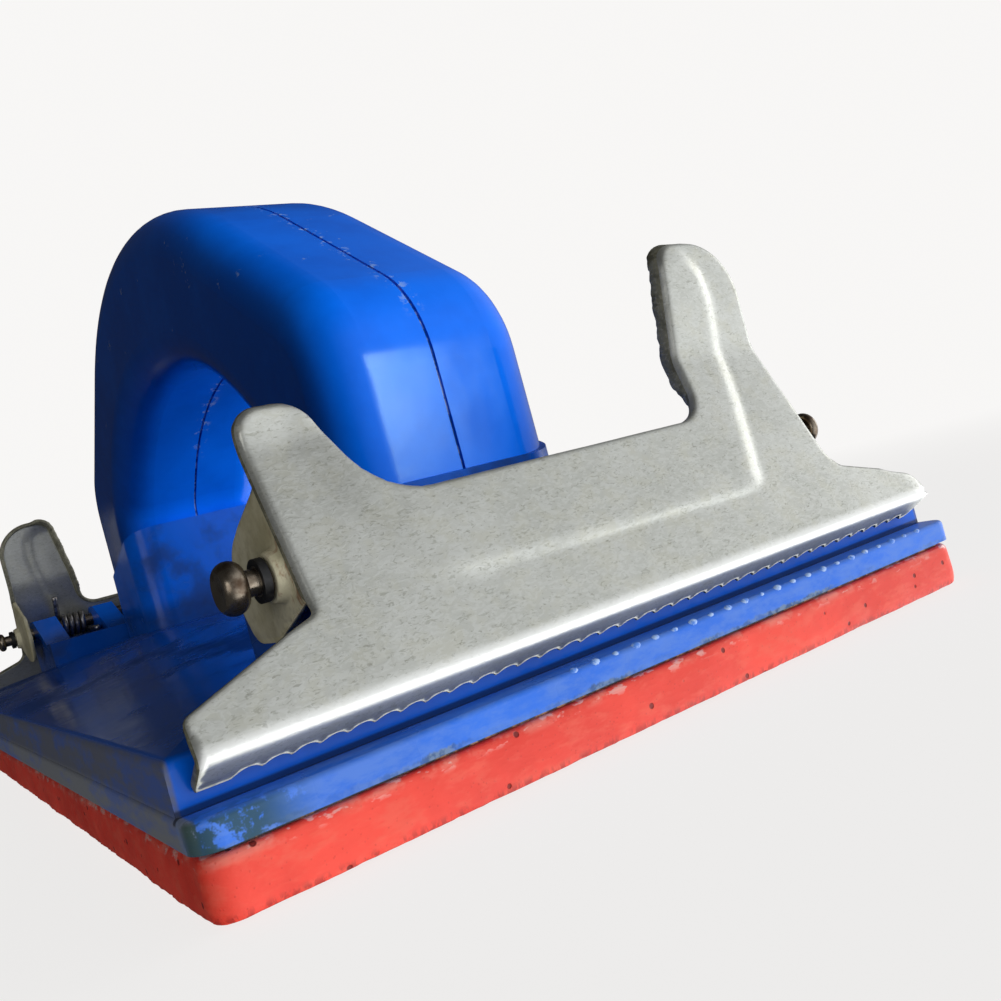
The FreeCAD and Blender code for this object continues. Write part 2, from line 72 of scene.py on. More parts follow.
def rounded(corners, spacing, closed=True):
    """Points about `spacing` apart along straight runs whose corners, (u, v, radius), are rounded."""
    points = [np.array(c[:2], float) for c in corners]
    count = len(points)
    path = []
    for i, (u, v, radius) in enumerate(corners):
        corner = points[i]
        if radius <= 0 or (not closed and i in (0, count - 1)):
            path.append(corner)
            continue
        back = points[i - 1] - corner
        ahead = points[(i + 1) % count] - corner
        back /= np.linalg.norm(back)
        ahead /= np.linalg.norm(ahead)
        half = math.acos(max(-1, min(1, back @ ahead))) / 2
        middle = back + ahead
        centre = corner + middle / np.linalg.norm(middle) * radius / math.sin(half)
        first = corner + back * radius / math.tan(half) - centre
        sweep = math.pi - 2 * half
        turn = math.copysign(1, back[1] * ahead[0] - back[0] * ahead[1])
        steps = max(3, int(radius * sweep / spacing) + 1)
        for k in range(steps + 1):
            a = turn * sweep * k / steps
            path.append(centre + np.array([first[0] * math.cos(a) - first[1] * math.sin(a),
                                           first[0] * math.sin(a) + first[1] * math.cos(a)]))
    dense = []
    last = len(path) if closed else len(path) - 1
    for i in range(last):
        a, b = path[i], path[(i + 1) % len(path)]
        steps = max(1, int(math.ceil(np.linalg.norm(b - a) / spacing)))
        dense += [a + (b - a) * k / steps for k in range(steps)]
    if not closed:
        dense.append(path[-1])
    return np.array(dense)


def inside(points, loop):
    """True for each point that lies inside the closed loop."""
    x, y = points[:, 0][:, None], points[:, 1][:, None]
    ax, ay = loop[:, 0], loop[:, 1]
    bx, by = np.roll(ax, -1), np.roll(ay, -1)
    crosses = (ay > y) != (by > y)
    run = np.where(by == ay, 1e-9, by - ay)
    return (crosses & (x < (bx - ax) * (y - ay) / run + ax)).sum(1) % 2 == 1


def distance_to(points, loop):
    """Distance from each point to a closed loop of points."""
    a = loop
    run = np.roll(loop, -1, 0) - a
    length = np.maximum((run ** 2).sum(1), 1e-12)
    best = np.full(len(points), 1e9)
    for start in range(0, len(points), 2000):
        part = points[start:start + 2000]
        t = np.clip(((part[:, None] - a) * run).sum(2) / length, 0, 1)
        near = a + t[..., None] * run
        best[start:start + 2000] = np.sqrt(((part[:, None] - near) ** 2).sum(2)).min(1)
    return best


def fill(loops, spacing, extra=()):
    """Triangles that fill the first loop outside the others, with an even lattice of points."""
    outer = loops[0]
    low, high = outer.min(0), outer.max(0)
    rows = np.arange(low[1], high[1], spacing * 0.87)
    lattice = []
    for i, v in enumerate(rows):
        u = np.arange(low[0] + (i % 2) * spacing / 2, high[0], spacing)
        lattice.append(np.stack([u, np.full(len(u), v)], 1))
    lattice = np.concatenate(lattice)
    if len(extra):
        extra = np.asarray(extra)
        away = np.concatenate([np.sqrt(((lattice[i:i + 1000, None] - extra) ** 2).sum(2)).min(1)
                               for i in range(0, len(lattice), 1000)])
        lattice = np.concatenate([lattice[away > spacing * 0.55], extra])
    keep = inside(lattice, outer)
    for hole in loops[1:]:
        keep &= ~inside(lattice, hole)
    lattice = lattice[keep]
    reach = np.min([distance_to(lattice, loop) for loop in loops], 0)
    lattice = lattice[reach > min(spacing * 0.35, 0.12)]
    verts, edges = [], []
    for loop in loops:
        first = len(verts)
        verts += [tuple(p) for p in loop]
        edges += [(first + i, first + (i + 1) % len(loop)) for i in range(len(loop))]
    verts += [tuple(p) for p in lattice]
    made = delaunay_2d_cdt([Vector(v) for v in verts], edges, [], 0, 1e-5)
    points = np.array([tuple(v) for v in made[0]])
    faces = np.array([f for f in made[2] if len(f) == 3])
    middle = points[faces].mean(1)
    keep = inside(middle, outer)
    for hole in loops[1:]:
        keep &= ~inside(middle, hole)
    faces = faces[keep]
    used = np.unique(faces)
    renumber = np.full(len(points), -1)
    renumber[used] = np.arange(len(used))
    return points[used], renumber[faces]


def rims(faces):
    """The closed chains of edges that only one face uses, in the faces' own direction."""
    seen = {}
    for f in faces:
        for a, b in ((f[0], f[1]), (f[1], f[2]), (f[2], f[0])):
            seen[(a, b)] = True
    follow = {a: b for a, b in seen if (b, a) not in seen}
    chains = []
    while follow:
        start = next(iter(follow))
        chain = [start]
        here = follow.pop(start)
        while here != start and here in follow:
            chain.append(here)
            here = follow.pop(here)
        chains.append(np.array(chain))
    return chains


def step(value, width):
    """0 below, 1 above, with a smooth change `width` wide around 0."""
    t = np.clip(value / width + 0.5, 0, 1)
    return t * t * (3 - 2 * t)


def ripple(points, scale, seed, depth=3):
    """Smooth noise from -1 to 1 at each point."""
    shift = Vector((seed * 7.3, seed * 3.1, seed * 5.7))
    return np.array([noise.fractal(Vector(p) * scale + shift, 1.0, 2.0, depth) for p in points])


# ---------------------------------------------------------------- meshes

def mesh_piece(name, verts, faces, material, body=None, slot=None, edge=None, edge_from=0):
    """A mesh object from points in millimetres. Faces from `edge_from` on wear the `edge` material."""
    data = bpy.data.meshes.new(name)
    shapes = [tuple(int(i) for i in f) for f in faces]
    data.from_pydata([tuple(v) for v in np.asarray(verts) * MM], [], shapes)
    data.validate()
    data.update()
    count = len(data.polygons)
    data.polygons.foreach_set("use_smooth", [True] * count)
    data.materials.append(material)
    if edge:
        data.materials.append(edge)
        data.polygons.foreach_set("material_index", [int(i >= edge_from) for i in range(count)])
    made = bpy.data.objects.new(name, data)
    bpy.context.scene.collection.objects.link(made)
    if body:
        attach(made, body)
    return made


def turned(verts):
    """The same points at the rear end of the block."""
    return np.asarray(verts) * (-1, -1, 1)


def point_normals(verts, faces):
    cross = np.cross(verts[faces[:, 1]] - verts[faces[:, 0]], verts[faces[:, 2]] - verts[faces[:, 0]])
    total = np.zeros_like(verts)
    for k in range(3):
        np.add.at(total, faces[:, k], cross)
    return total / np.maximum(np.linalg.norm(total, axis=1), 1e-12)[:, None]


def sheet_metal(points, faces, place, thickness, rim):
    """A bent sheet: `place` puts the flat points on the sheet's outer face, `rim` says how far each
    edge point is drawn on past the edge, and the edge itself is half round."""
    outer = place(points)
    normals = point_normals(outer, faces)
    inner = outer - normals * thickness
    verts = [outer, inner]
    total = 2 * len(outer)
    shapes = [faces, faces[:, ::-1] + len(outer)]
    quads = []
    for chain in rims(faces):
        ahead = outer[np.roll(chain, -1)] - outer[np.roll(chain, 1)]
        outward = np.cross(ahead, normals[chain])
        outward /= np.maximum(np.linalg.norm(outward, axis=1), 1e-9)[:, None]
        drawn = outward * rim(points[chain], outer[chain])[:, None]
        top, bottom = outer[chain] + drawn, inner[chain] + drawn
        rows = []
        for angle in (0, 35, 70, 110, 145, 180):
            a = math.radians(angle)
            rows.append((top + bottom) / 2 + (top - bottom) / 2 * math.cos(a)
                        + outward * thickness * 0.22 * math.sin(a))
        ids = [chain]
        for row in rows:
            verts.append(row)
            ids.append(np.arange(total, total + len(chain)))
            total += len(chain)
        ids.append(chain + len(outer))
        for one, two in zip(ids, ids[1:]):
            one_next, two_next = np.roll(one, -1), np.roll(two, -1)
            quads += list(zip(one, two, two_next, one_next))
    return np.concatenate(verts), [tuple(f) for part in shapes for f in part] + quads


def tube(path, radius, sides=12):
    """A round wire along a path of points, closed at both ends."""
    path = np.asarray(path, float)
    along = np.gradient(path, axis=0)
    along /= np.linalg.norm(along, axis=1)[:, None]
    across = np.cross(along[0], (0.3, 0.2, 1.0))
    verts = []
    for point, way in zip(path, along):
        across = across - way * (across @ way)
        across /= np.linalg.norm(across)
        other = np.cross(way, across)
        for k in range(sides):
            a = 2 * math.pi * k / sides
            verts.append(point + radius * (across * math.cos(a) + other * math.sin(a)))
    faces = []
    for i in range(len(path) - 1):
        for k in range(sides):
            a, b = i * sides + k, i * sides + (k + 1) % sides
            faces.append((a, b, b + sides, a + sides))
    for end, way in ((0, -1), (len(path) - 1, 1)):
        verts.append(path[end] + along[end] * radius * 0.5 * way)
        ring = [end * sides + k for k in range(sides)]
        for k in range(sides):
            pair = (ring[k], ring[(k + 1) % sides])
            faces.append((pair if way > 0 else pair[::-1]) + (len(verts) - 1,))
    return np.array(verts), faces


# ---------------------------------------------------------------- materials

class Paint:
    """Builds one node material. Coordinates are the object's own, in millimetres."""

    def __init__(self, name):
        self.material = bpy.data.materials.new(name)
        self.material.use_nodes = True
        self.tree = self.material.node_tree
        self.tree.nodes.clear()
        self.out = self.tree.nodes.new("ShaderNodeOutputMaterial")
        self.shader = self.tree.nodes.new("ShaderNodeBsdfPrincipled")
        self.tree.links.new(self.shader.outputs[0], self.out.inputs[0])
        place = self.node("ShaderNodeTexCoord")
        per_mm = (1 / MM, 1 / MM, 1 / MM)
        scaled = self.node("ShaderNodeMapping", Vector=place.outputs["Object"], Scale=per_mm)
        self.mm = scaled.outputs[0]

    def node(self, kind, props=None, **inputs):
        made = self.tree.nodes.new(kind)
        for key, value in (props or {}).items():
            setattr(made, key, value)
        for key, value in inputs.items():
            self.put(made, key.replace("_", " "), value)
        return made

    def put(self, target, key, value):
        socket = target.inputs[int(key[1:])] if key[0] == "i" and key[1:].isdigit() else target.inputs[key]
        if isinstance(value, bpy.types.NodeSocket):
            self.tree.links.new(value, socket)
        else:
            socket.default_value = value

    def noise(self, scale, detail=3, rough=0.55, stretch=(1, 1, 1), warp=0.0):
        where = self.node("ShaderNodeMapping", Vector=self.mm, Scale=stretch).outputs[0]
        return self.node("ShaderNodeTexNoise", Vector=where, Scale=scale, Detail=detail, Roughness=rough,
                         Distortion=warp).outputs["Fac"]

    def cells(self, scale, stretch=(1, 1, 1)):
        where = self.node("ShaderNodeMapping", Vector=self.mm, Scale=stretch).outputs[0]
        return self.node("ShaderNodeTexVoronoi", Vector=where, Scale=scale).outputs["Distance"]

    def ramp(self, fac, low, high, a=0.0, b=1.0):
        """Maps fac from low..high to a..b, smoothly and held at the ends."""
        return self.node("ShaderNodeMapRange", {"interpolation_type": "SMOOTHSTEP"}, Value=fac,
                         i1=low, i2=high, i3=a, i4=b).outputs[0]

    def math(self, kind, a, b=0.0):
        return self.node("ShaderNodeMath", {"operation": kind}, i0=a, i1=b).outputs[0]

    def mul(self, *parts):
        result = parts[0]
        for part in parts[1:]:
            result = self.math("MULTIPLY", result, part)
        return result

    def mix(self, fac, a, b):
        made = self.node("ShaderNodeMix", {"data_type": "RGBA"})
        for index, value in ((0, fac), (6, a), (7, b)):
            if isinstance(value, bpy.types.NodeSocket):
                self.tree.links.new(value, made.inputs[index])
            else:
                made.inputs[index].default_value = value if index == 0 else (*value[:3], 1.0)
        return made.outputs[2]

    def axis(self):
        parts = self.node("ShaderNodeSeparateXYZ", Vector=self.mm).outputs
        return parts[0], parts[1], parts[2]

    def between(self, value, low, high, soft):
        """1 between low and high, and 0 outside, with edges `soft` wide."""
        up = self.ramp(value, low - soft / 2, low + soft / 2)
        down = self.ramp(value, high - soft / 2, high + soft / 2, 1.0, 0.0)
        return self.math("MULTIPLY", up, down)

    def bump(self, height, strength, distance, below=None):
        made = self.node("ShaderNodeBump", Strength=strength, Distance=distance * MM, Height=height)
        if below is not None:
            self.tree.links.new(below, made.inputs["Normal"])
        return made.outputs[0]

    def finish(self, **inputs):
        for key, value in inputs.items():
            if isinstance(value, tuple) and len(value) == 3 and key.endswith(("Color", "Tint")):
                value = (*value, 1.0)
            self.put(self.shader, key.replace("_", " "), value)
        return self.material


def zinc_sheet():
    """Zinc-plated sheet: warm grey, with short curved flow marks and dark specks in the plating, and a
    painted highlight along the fold.
    """
    p = Paint("zinc_sheet")
    z = p.axis()[2]
    patches = p.noise(0.10, 3, 0.6)
    grain = p.noise(1.3, 2, 0.5, (0.75, 1.0, 1.5), 1.2)
    flecks = p.ramp(grain, 0.44, 0.60)
    marks = p.ramp(p.noise(1.7, 3, 0.6, (0.6, 1.0, 1.5), 1.4), 0.585, 0.64)
    specks = p.ramp(p.noise(2.3, 2, 0.5, (0.6, 1, 1.5), 0.8), 0.655, 0.70)
    yellow = p.ramp(p.noise(0.35, 3, 0.6), 0.45, 0.65)
    grey = p.mix(p.ramp(patches, 0.35, 0.65), (0.43, 0.435, 0.395), (0.49, 0.495, 0.455))
    grey = p.mix(p.mul(yellow, 0.35), grey, (0.47, 0.46, 0.37))
    grey = p.mix(p.mul(flecks, 0.30), grey, (0.60, 0.61, 0.58))
    grey = p.mix(p.mul(marks, 0.38), grey, (0.22, 0.22, 0.17))
    grey = p.mix(p.mul(specks, 0.40), grey, (0.16, 0.155, 0.115))
    fold_highlight_band = p.between(z, 12.2, 13.8, 0.9)    # a pale band painted along the fold: a painted highlight, made a little smoother too
    grey = p.mix(p.mul(fold_highlight_band, 0.6), grey, (0.93, 0.93, 0.90))
    rough = p.math("ADD", p.mul(marks, 0.06), p.ramp(patches, 0.3, 0.7, 0.36, 0.42))
    rough = p.math("SUBTRACT", rough, p.mul(fold_highlight_band, 0.08))
    flow = p.bump(grain, 0.30, 0.08)
    normal = p.bump(patches, 0.3, 0.3, flow)
    return p.finish(Base_Color=grey, Metallic=0.62, Roughness=rough, Normal=normal, IOR=1.5)


def zinc_edge():
    """Sheared edges and turned-back hems of the sheet: dull olive brown, with a burnished arris."""
    p = Paint("zinc_edge")
    stain = p.noise(0.5, 4, 0.65)
    fine = p.noise(2.2, 3, 0.6)
    tone = p.mix(p.ramp(stain, 0.36, 0.62), (0.11, 0.105, 0.068), (0.22, 0.21, 0.145))
    tone = p.mix(p.mul(p.ramp(fine, 0.5, 0.66), 0.4), tone, (0.42, 0.40, 0.31))
    return p.finish(Base_Color=tone, Metallic=0.2, Roughness=p.ramp(stain, 0.3, 0.7, 0.42, 0.6),
                    Normal=p.bump(fine, 0.35, 0.10))


def cheek_zinc():
    """The clip's folded cheeks: the same plating, stained olive, with rust near the bend."""
    p = Paint("zinc_stained")
    patches = p.noise(0.18, 4, 0.65)
    grain = p.noise(1.3, 3, 0.6)
    ahead = p.math("ABSOLUTE", p.axis()[1])
    rust = p.mul(p.ramp(p.noise(0.45, 4, 0.7, (1, 2.2, 0.5)), 0.47, 0.60), p.ramp(ahead, 94.0, 98.5))
    tone = p.mix(p.ramp(patches, 0.35, 0.65), (0.50, 0.45, 0.27), (0.68, 0.63, 0.44))
    tone = p.mix(p.mul(p.ramp(grain, 0.45, 0.7), 0.3), tone, (0.34, 0.29, 0.17))
    tone = p.mix(p.mul(rust, 0.85), tone, (0.25, 0.085, 0.025))
    rough = p.ramp(patches, 0.3, 0.7, 0.45, 0.62)
    return p.finish(Base_Color=tone, Metallic=0.1, Roughness=rough, Normal=p.bump(grain, 0.3, 0.12))


def blue_plastic(name, worn):
    """Moulded blue plastic: satin, with a faint grain, smudges and rubbed places; on the base also painted
    shade on the deck and in the ledge corner, and a painted sheen on the lip's ends.
    """
    p = Paint(name)
    x, y, z = p.axis()
    side = p.math("ABSOLUTE", x)
    end = p.math("ABSOLUTE", y)
    clouds = p.noise(0.05, 4, 0.6)
    fine = p.noise(0.9, 3, 0.6)
    blue = p.mix(p.ramp(clouds, 0.35, 0.65), (0.0012, 0.122, 0.70), (0.0018, 0.150, 0.82))
    blue = p.mix(p.mul(p.ramp(fine, 0.5, 0.8), 0.16), blue, (0.005, 0.17, 0.88))
    rough = p.ramp(clouds, 0.3, 0.7, 0.13, 0.22)
    if worn:
        # dark rough patches on the deck: partly dirty smudges, partly painted shade
        smudge_and_shade = p.mul(p.ramp(p.noise(0.055, 4, 0.65, (1, 0.6, 1)), 0.46, 0.66), p.ramp(z, 12.5, 14.5))
        # the deck's top is painted dark navy: painted shade
        deck_shade = p.mul(p.ramp(z, 12.8, 13.8), p.ramp(z, 22.0, 26.0, 1.0, 0.0))
        blue = p.mix(p.mul(deck_shade, 0.55), blue, (0.004, 0.018, 0.070))
        blue = p.mix(p.mul(smudge_and_shade, 0.60), blue, (0.012, 0.028, 0.075))
        rough = p.math("ADD", rough, p.mul(smudge_and_shade, 0.25))
        # the side walls and the lip's sides are rubbed grey, in two bands
        rub = p.mul(p.ramp(side, 51.6, 52.0), p.ramp(z, 13.0, 13.8, 1.0, 0.0))
        streaks = p.noise(0.12, 4, 0.7, (1, 0.45, 1.6))
        band = p.ramp(streaks, 0.36, 0.56, 0.55, 0.97)
        worn_grey = p.mix(p.ramp(z, 8.4, 9.2), (0.28, 0.29, 0.30), (0.15, 0.16, 0.20))
        blue = p.mix(p.mul(rub, band), blue, worn_grey)
        rough = p.math("ADD", rough, p.mul(rub, 0.3))
        # the lip's ends are paler, partly dust and partly a painted sheen, with a painted shade line in the
        # corner of the ledge
        lip = p.mul(p.ramp(end, 100.6, 101.4), p.ramp(z, 9.0, 9.4, 1.0, 0.0))
        dust_and_sheen = p.ramp(p.noise(0.5, 4, 0.7, (0.4, 1, 1)), 0.35, 0.65, 0.16, 0.42)
        blue = p.mix(p.mul(lip, dust_and_sheen), blue, (0.20, 0.34, 0.66))
        rough = p.math("ADD", rough, p.mul(lip, 0.12))
        # a dark line painted in the corner of the ledge: painted shade
        ledge_corner_shade = p.mul(p.between(end, 100.3, 101.1, 0.3), p.between(z, 8.2, 9.2, 0.3))
        blue = p.mix(p.mul(ledge_corner_shade, 0.75), blue, (0.006, 0.008, 0.016))
        # chipped lower edge of the lip
        low = p.math("SUBTRACT", z, p.mul(p.noise(0.30, 4, 0.75, (1, 1, 0.2)), 2.0))
        chip = p.mul(p.ramp(low, 5.30, 5.6, 1.0, 0.0), p.ramp(end, 104.2, 104.7),
                     p.ramp(p.noise(0.09, 2), 0.42, 0.58, 0.15, 1.0))
        pale = p.mix(p.ramp(p.noise(0.8, 3), 0.42, 0.58), (0.045, 0.075, 0.085), (0.20, 0.26, 0.27))
        blue = p.mix(p.mul(chip, 0.75), blue, pale)
        # a green-grey smear on the lip at each end, near the left corner
        corner = p.mul(p.ramp(x, -47.5, -41.0, 1.0, 0.0), p.ramp(end, 101.5, 103.5),
                       p.ramp(z, 8.3, 9.0, 1.0, 0.0))
        smear = p.mul(corner, p.ramp(p.noise(0.35, 4, 0.7), 0.44, 0.52))
        blue = p.mix(p.mul(smear, 0.85), blue, (0.028, 0.070, 0.045))
        rough = p.math("ADD", rough, p.mul(smear, 0.2))
    else:
        groove = p.ramp(side, 0.16, 0.27, 1.0, 0.0)
        dust = p.ramp(p.noise(0.35, 4, 0.7), 0.42, 0.60)
        blue = p.mix(p.mul(groove, 0.75), blue, p.mix(dust, (0.010, 0.030, 0.075), (0.42, 0.46, 0.50)))
        rub = p.mul(p.ramp(side, 0.3, 2.2, 1.0, 0.0), p.ramp(p.noise(0.55, 4, 0.75), 0.55, 0.62),
                    p.ramp(z, 52, 60))
        blue = p.mix(p.mul(rub, 0.55), blue, (0.42, 0.50, 0.66))
        rough = p.math("ADD", rough, p.mul(rub, 0.3))
        # rubbed spots on the shoulders
        spots = p.mul(p.ramp(p.noise(0.16, 5, 0.75), 0.63, 0.68), p.ramp(p.noise(1.1, 4, 0.7), 0.48, 0.56),
                      p.ramp(z, 60, 68))
        blue = p.mix(p.mul(spots, 0.55), blue, (0.34, 0.45, 0.66))
    grain = p.bump(fine, 0.07, 0.08)
    waves = p.bump(p.noise(0.12, 2, 0.5), 0.12, 0.5, grain)
    return p.finish(Base_Color=blue, Roughness=rough, Normal=waves, IOR=1.46, Specular_IOR_Level=0.20)


def red_foam():
    """Fine closed-cell foam: small pores, pits painted dark as painted shade, rubbed pink along the top edge,
    with glossy spots there that also carry a painted glint.
    """
    p = Paint("red_foam")
    z = p.axis()[2]
    clouds = p.noise(0.07, 4, 0.6)
    streak = p.noise(0.35, 3, 0.6, (1, 1, 2.2))
    pore = p.ramp(p.cells(1.7), 0.05, 0.22, 1.0, 0.0)
    pits = p.ramp(p.cells(0.36), 0.08, 0.13, 1.0, 0.0)
    tears = p.ramp(p.cells(0.12, (1, 1, 1.8)), 0.03, 0.06, 1.0, 0.0)
    deep = p.math("MAXIMUM", pits, tears)
    red = p.mix(p.ramp(clouds, 0.35, 0.65), (0.80, 0.042, 0.020), (0.95, 0.070, 0.040))
    red = p.mix(p.mul(p.ramp(streak, 0.45, 0.7), 0.30), red, (0.90, 0.17, 0.10))
    edge = p.ramp(z, 4.2, 5.3)
    rubbed = p.mul(edge, p.ramp(p.noise(0.22, 4, 0.65, (1, 1, 1.5)), 0.47, 0.60))
    red = p.mix(p.mul(rubbed, 0.38), red, (0.93, 0.40, 0.30))
    # glossy spots along the top edge: smoother, and painted pale as a painted glint
    gloss_and_glint = p.mul(edge, p.ramp(p.noise(0.8, 3, 0.6, (0.5, 0.5, 1.3)), 0.57, 0.62))
    red = p.mix(p.mul(gloss_and_glint, 0.55), red, (0.95, 0.62, 0.55))
    # the pores and the deep pits are painted darker: painted shade in the hollows
    red = p.mix(p.mul(pore, 0.25), red, (0.45, 0.02, 0.015))
    red = p.mix(p.mul(deep, 0.85), red, (0.13, 0.004, 0.003))
    foot = p.ramp(z, 0.3, 1.1, 1.0, 0.0)
    grime = p.ramp(p.noise(1.4, 3, 0.6, (1, 1, 0.3)), 0.45, 0.6)
    red = p.mix(p.mul(foot, grime, 0.6), red, (0.30, 0.012, 0.008))
    rough = p.math("SUBTRACT", p.ramp(clouds, 0.3, 0.7, 0.50, 0.62), p.mul(edge, 0.16))
    rough = p.math("SUBTRACT", rough, p.mul(gloss_and_glint, 0.26))
    cell = p.bump(pore, 0.3, 0.08)
    dents = p.bump(p.math("SUBTRACT", 1.0, deep), 0.6, 0.35, cell)
    normal = p.bump(streak, 0.4, 0.25, dents)
    return p.finish(Base_Color=red, Roughness=rough, Normal=normal, IOR=1.45, Subsurface_Weight=0.10,
                    Subsurface_Radius=(0.004, 0.001, 0.0006), Subsurface_Scale=0.6)


def nub_blue_wear_and_glint():
    """The lip's grip nubs, paler in random patches: partly rubbed wear and partly a painted glint."""
    p = Paint("nub_blue_wear_and_glint")
    wear = p.noise(1.2, 3, 0.6)
    tone = p.mix(p.ramp(wear, 0.40, 0.56), (0.06, 0.22, 0.74), (0.34, 0.50, 0.82))
    rough = p.ramp(wear, 0.3, 0.7, 0.5, 0.32)
    return p.finish(Base_Color=tone, Roughness=rough, Normal=p.bump(wear, 0.3, 0.06))


def glue():
    """Dried contact adhesive, dark with amber beads."""
    p = Paint("glue_line")
    beads = p.noise(0.7, 3, 0.6)
    tone = p.mix(p.ramp(beads, 0.5, 0.64), (0.020, 0.014, 0.016), (0.42, 0.19, 0.05))
    rough = p.ramp(beads, 0.4, 0.7, 0.5, 0.25)
    return p.finish(Base_Color=tone, Roughness=rough, Normal=p.bump(beads, 0.5, 0.2))


def steel(name, dark, light, rough_low, rough_high, scale):
    """Bare steel with uneven tarnish and fine turning marks."""
    p = Paint(name)
    tarnish = p.noise(scale, 4, 0.65)
    turning = p.noise(6.0, 2, 0.5, (3.0, 0.4, 0.4))
    tone = p.mix(p.ramp(tarnish, 0.36, 0.62), dark, light)
    rough = p.ramp(tarnish, 0.3, 0.7, rough_high, rough_low)
    return p.finish(Base_Color=tone, Metallic=0.9, Roughness=rough, Normal=p.bump(turning, 0.25, 0.03))


def black_rubber():
    """Matte black rubber with a little dust."""
    p = Paint("black_rubber")
    dust = p.noise(1.8, 4, 0.6)
    tone = p.mix(p.ramp(dust, 0.45, 0.75), (0.004, 0.004, 0.005), (0.018, 0.017, 0.016))
    rough = p.ramp(dust, 0.3, 0.7, 0.45, 0.7)
    return p.finish(Base_Color=tone, Roughness=rough, Normal=p.bump(dust, 0.3, 0.08))


ZINC = zinc_sheet()
CHEEK = cheek_zinc()
ZINC_EDGE = zinc_edge()
NUB_BLUE = nub_blue_wear_and_glint()
BASE_BLUE = blue_plastic("blue_base", True)
HANDLE_BLUE = blue_plastic("blue_handle", False)
FOAM = red_foam()
GLUE = glue()
PIN_STEEL = steel("pin_steel", (0.085, 0.055, 0.035), (0.26, 0.22, 0.17), 0.20, 0.36, 0.35)
SPRING_STEEL = steel("spring_steel", (0.12, 0.11, 0.10), (0.34, 0.33, 0.32), 0.28, 0.45, 0.9)
SCREW_STEEL = steel("screw_steel", (0.34, 0.33, 0.30), (0.62, 0.61, 0.58), 0.2, 0.35, 0.8)
RUBBER = black_rubber()

finishes = {"blue_plastic": BASE_BLUE, "red_foam": FOAM, "adhesive": GLUE, "zinc_sheet": ZINC,
            "pin_steel": PIN_STEEL, "black_rubber": RUBBER, "spring_steel": SPRING_STEEL,
            "screw_steel": SCREW_STEEL}
for part in record["subparts"]:
    material = finishes[part["material_slot"]]
    if part["node"].startswith("handle_shell") and part["material_slot"] == "blue_plastic":
        material = HANDLE_BLUE
    node = frame["nodes"][part["node"]]
    node.data.materials.clear()
    node.data.materials.append(material)


# ---------------------------------------------------------------- clips

SHEET = 0.9
FOLD_Z = 12.5
EAR_BEND_Z = 38.0
EAR_TOP_Z = 54.0          # a little above the tall ear, so that the section covers it
JAW = (3.8, 10.2)
PLATE_SLOPE = 0.43        # depth gained for each millimetre up
PLATE_HALF_X = 50.4
PANEL_HEIGHT = 0.70
PANEL_FOOT_Z = 19.4
PANEL_RIGHT_SLOPE = 0.42  # the panel's right side is this much gentler than its foot
PANEL_CORNER = 1.7
PANEL_STEP = 1.1
CURL_RADIUS = 0.85
HEM_DEPTH = 1.35
TOOTH_PITCH = 2.7
TOOTH_DEPTH = 1.15
TEETH_HALF_X = 47.25
CHEEK_X = 36.6


def plate_depth(z):
    """How far in the plate's outer face is at height z."""
    return 3.5 + PLATE_SLOPE * (z - 21.2)


section = rounded([(*JAW, 0), (0.37, 12.4, 0.5), (0.09, 13.2, 1.1), (plate_depth(14.3), 14.3, 2.5),
                   (plate_depth(EAR_BEND_Z), EAR_BEND_Z, 6.0), (plate_depth(EAR_BEND_Z), EAR_TOP_Z, 0)],
                  0.05, closed=False)
section_along = np.concatenate([[0], np.cumsum(np.linalg.norm(np.diff(section, axis=0), axis=1))])
section_way = np.gradient(section, axis=0)
section_way /= np.linalg.norm(section_way, axis=1)[:, None]


def along_of(z):
    """Distance along the clip's section, from the teeth, to height z."""
    return np.interp(z, section[:, 1], section_along)


# seen from the front, from the left end round by the low left ear and the tall right one
front_view = rounded([(-PLATE_HALF_X, 5.0, 0), (-PLATE_HALF_X, 16.4, 0.8), (-CHEEK_X, 21.4, 0.8),
                      (-CHEEK_X, 41.6, 2.6), (-29.6, 41.6, 4.0), (-25.0, 30.1, 8.0), (19.6, 30.1, 4.5),
                      (23.6, 53.2, 3.6), (CHEEK_X, 53.2, 8.0), (36.4, 19.9, 2.0),
                      (PLATE_HALF_X, 15.8, 3.2), (PLATE_HALF_X, 5.0, 0)], 0.45)
front_view = front_view[front_view[:, 1] > FOLD_Z]


def clip_outline():
    """The stamping's outline on the flat: x, and distance from the teeth."""
    top = np.stack([front_view[:, 0], along_of(front_view[:, 1])], 1)
    x = np.arange(PLATE_HALF_X, -PLATE_HALF_X, -0.27)
    phase = (x + TEETH_HALF_X) / TOOTH_PITCH
    bite = np.abs(np.sin(np.pi * phase)) ** 0.7 * TOOTH_DEPTH
    bite = np.where(np.abs(x) > TEETH_HALF_X, 0.0, bite)
    bite += 1.8 * np.clip((x - 47.2) / 3.2, 0, 1) ** 2.5    # the right end is cut away in a curve
    teeth = np.stack([x, bite], 1)
    right = np.stack([np.full(6, PLATE_HALF_X), np.linspace(top[-1, 1] - 0.3, 1.9, 6)], 1)
    left = np.stack([np.full(8, -PLATE_HALF_X), np.linspace(0.6, top[0, 1] - 0.4, 8)], 1)
    return np.concatenate([top, right, teeth, left])


crease_z = np.array([19.0, 19.6, 21.0, 25.8, 30.8, 36.3, 41.4, 45.5, 49.0, 51.0, 55.0])
crease_x = np.array([22.4, 22.7, 23.4, 25.7, 28.0, 30.0, 30.9, 31.3, 30.8, 29.0, 25.0])
left_crease = np.array([(-18.0, 18.6), (-20.1, 20.2), (-22.6, 21.6), (-26.0, 25.9), (-28.4, 30.2),
                        (-30.0, 36.0)])


